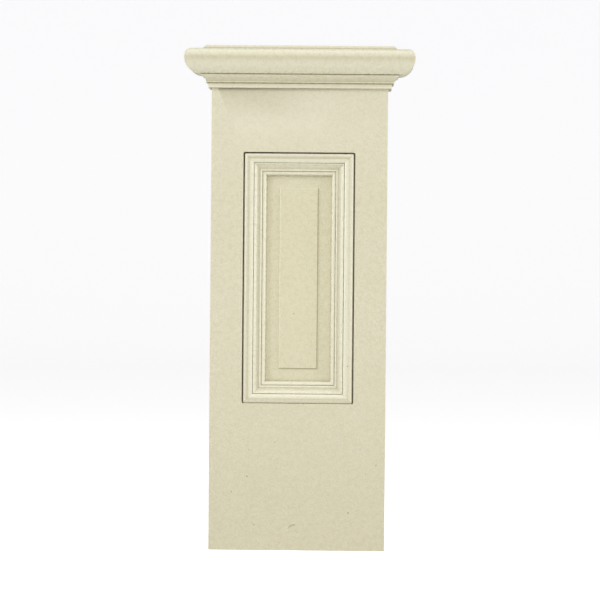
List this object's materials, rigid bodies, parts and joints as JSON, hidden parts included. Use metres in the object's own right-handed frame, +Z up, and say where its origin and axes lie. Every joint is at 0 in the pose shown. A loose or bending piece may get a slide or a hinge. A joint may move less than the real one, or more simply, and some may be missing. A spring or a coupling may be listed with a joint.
{
  "type": "pilaster",
  "caption": "Dado-height pilaster with a flat back: plain shaft, framed sunk panel with a raised tablet, and a moulded cap with a raised seat.",
  "frame": {"origin": "on the floor, under the middle of the object's box", "axes": "+Z up along the shaft, -Y to the front with its panel, +Y to the wall, +X to the viewer's right"},
  "size_m": [0.4092, 0.1574, 0.9],
  "materials": {
    "shaft": "cream paint, eggshell",
    "fielded_panel": "cream paint, eggshell",
    "panel_frame": "cream paint, eggshell",
    "bed_moulding": "cream paint, eggshell",
    "cap_board": "cream paint, eggshell"
  },
  "bodies": {
    "root": {"shaft": "shaft", "fielded_panel": "fielded_panel", "panel_frame": "panel_frame", "bed_moulding": "bed_moulding", "cap_board": "cap_board"}
  },
  "joints": []
}
